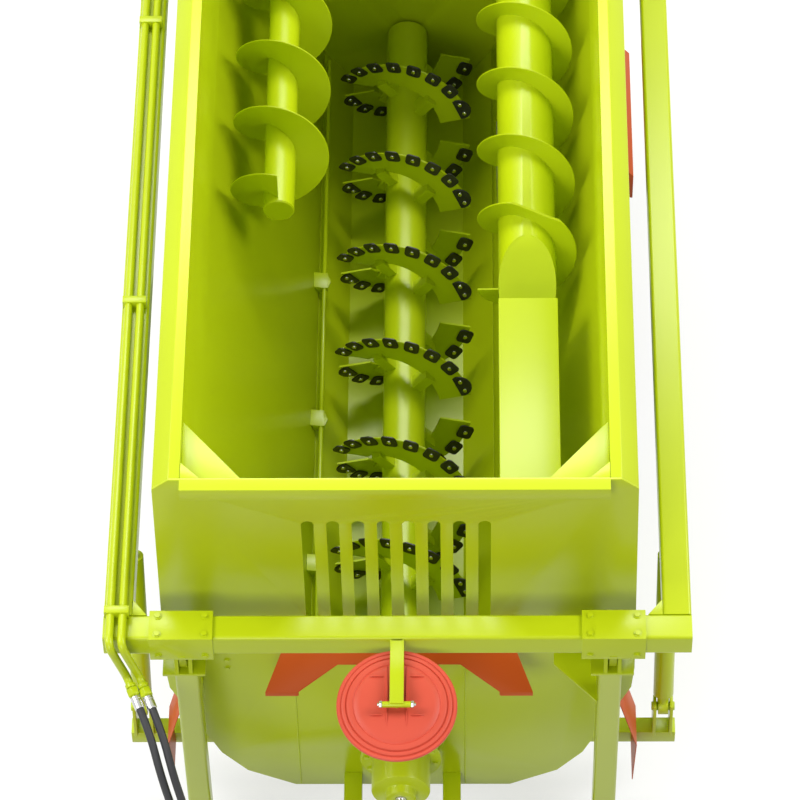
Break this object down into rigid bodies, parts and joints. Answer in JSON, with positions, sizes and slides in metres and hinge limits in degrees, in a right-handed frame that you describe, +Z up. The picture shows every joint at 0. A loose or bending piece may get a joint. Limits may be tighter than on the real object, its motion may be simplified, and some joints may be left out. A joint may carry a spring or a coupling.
{
  "type": "towed self-loading feed mixer wagon",
  "caption": "Towed tub wagon with lying mixing augers, a lifting loader boom with milling drum, and a side discharge gate.",
  "frame": {"origin": "on the ground in the middle of the overall length and width", "axes": "+Y to the rear, against the way it is towed, +Z up, +X to the side with the discharge gate"},
  "size_m": [2.45, 6.5011, 2.64],
  "materials": {
    "green_paint": "glossy lime green paint",
    "orange_paint": "satin orange paint",
    "orange_red_plastic": "moulded orange-red plastic",
    "black_steel": "satin black",
    "polished_steel": "ground and chromed",
    "silver_paint": "satin silver paint",
    "tyre_rubber": "matt rubber",
    "hose_rubber": "matt black hose cover"
  },
  "bodies": {
    "wagon": {"tub_front_wall": "green_paint", "view_panel": "green_paint", "tub_rear_wall": "green_paint", "tub_left_wall": "green_paint", "tub_right_wall": "green_paint", "trough_floor": "green_paint", "corner_deflectors": "green_paint", "counter_knives": "green_paint", "auger_cover": "green_paint", "auger_drive_case": "green_paint", "column_left": "green_paint", "column_right": "green_paint", "front_cross_tube": "green_paint", "axle": "green_paint", "chassis_frame": "green_paint", "drawbar": "green_paint", "gearbox": "green_paint", "door_guides": "green_paint", "door_cylinder": "green_paint", "discharge_hood": "orange_paint", "front_guard": "orange_paint", "side_guards": "orange_paint", "hose_holder": "green_paint", "hose_outer": "hose_rubber", "hose_inner": "hose_rubber"},
    "lower_auger": {"lower_auger": "green_paint", "auger_knives": "black_steel"},
    "upper_left_auger": {"upper_left_auger": "green_paint"},
    "upper_right_auger": {"upper_right_auger": "green_paint"},
    "boom": {"loader_boom": "green_paint", "drum_hood": "green_paint", "drum_motor": "black_steel", "boom_pipes": "green_paint", "mirror_dish": "orange_red_plastic", "mirror_arm": "green_paint"},
    "drum": {"milling_drum": "green_paint"},
    "lift_barrel_left": {"lift_barrel_left": "green_paint"},
    "lift_barrel_right": {"lift_barrel_right": "green_paint"},
    "lift_rod_left": {"lift_rod_left": "polished_steel"},
    "lift_rod_right": {"lift_rod_right": "polished_steel"},
    "wheel_left": {"tyre_left": "tyre_rubber", "wheel_left": "silver_paint"},
    "wheel_right": {"tyre_right": "tyre_rubber", "wheel_right": "silver_paint"},
    "jack": {"parking_jack": "black_steel"},
    "pto_stub": {"pto_stub": "polished_steel"},
    "discharge_door": {"discharge_door": "green_paint"}
  },
  "joints": [
    {"name": "wheel_left_turn", "type": "hinge", "parent": "wagon", "child": "wheel_left", "pos_m": [-0.86, 0.546, 0.4], "axis": [1, 0, 0], "continuous": true},
    {"name": "wheel_right_turn", "type": "hinge", "parent": "wagon", "child": "wheel_right", "pos_m": [0.86, 0.546, 0.4], "axis": [1, 0, 0], "continuous": true},
    {"name": "lower_auger_turn", "type": "hinge", "parent": "wagon", "child": "lower_auger", "pos_m": [0, -1.75, 0.771], "axis": [0, 1, 0], "continuous": true},
    {"name": "upper_left_turn", "type": "hinge", "parent": "wagon", "child": "upper_left_auger", "pos_m": [-0.565, 2.35, 1.6], "axis": [0, 1, 0], "continuous": true},
    {"name": "upper_right_turn", "type": "hinge", "parent": "wagon", "child": "upper_right_auger", "pos_m": [0.565, 2.35, 1.6], "axis": [0, 1, 0], "continuous": true},
    {"name": "pto_turn", "type": "hinge", "parent": "wagon", "child": "pto_stub", "pos_m": [0, -2.08, 0.771], "axis": [0, 1, 0], "continuous": true},
    {"name": "boom_lift", "type": "hinge", "parent": "wagon", "child": "boom", "pos_m": [0, -1.95, 1.685], "axis": [1, 0, 0], "range_deg": [-15, 40]},
    {"name": "drum_turn", "type": "hinge", "parent": "boom", "child": "drum", "pos_m": [0, 2.98, 1.755], "axis": [1, 0, 0], "continuous": true},
    {"name": "lift_swing_left", "type": "hinge", "parent": "wagon", "child": "lift_barrel_left", "pos_m": [-1.165, -1.49, 0.54], "axis": [1, 0, 0], "range_deg": [-4.01, 9.86]},
    {"name": "lift_slide_left", "type": "slide", "parent": "lift_barrel_left", "child": "lift_rod_left", "axis": [0, 0.2881, 0.9576], "range_m": [-0.189, 0.499]},
    {"name": "lift_swing_right", "type": "hinge", "parent": "wagon", "child": "lift_barrel_right", "pos_m": [1.165, -1.49, 0.54], "axis": [1, 0, 0], "range_deg": [-4.01, 9.86]},
    {"name": "lift_slide_right", "type": "slide", "parent": "lift_barrel_right", "child": "lift_rod_right", "axis": [0, 0.2881, 0.9576], "range_m": [-0.189, 0.499]},
    {"name": "jack_swing", "type": "hinge", "parent": "wagon", "child": "jack", "pos_m": [0.33, -2.42, 0.352], "axis": [-1, 0, 0], "range_deg": [0, 90]},
    {"name": "door_slide", "type": "slide", "parent": "wagon", "child": "discharge_door", "axis": [0.3997, 0, 0.9166], "range_m": [0, 0.31]}
  ],
  "couplings": [
    {"joint": "lift_swing_left", "follows": "boom_lift", "ratio": 0.23388},
    {"joint": "lift_slide_left", "follows": "boom_lift", "m_per_rad": 0.71044},
    {"joint": "lift_swing_right", "follows": "boom_lift", "ratio": 0.23388},
    {"joint": "lift_slide_right", "follows": "boom_lift", "m_per_rad": 0.71044}
  ]
}
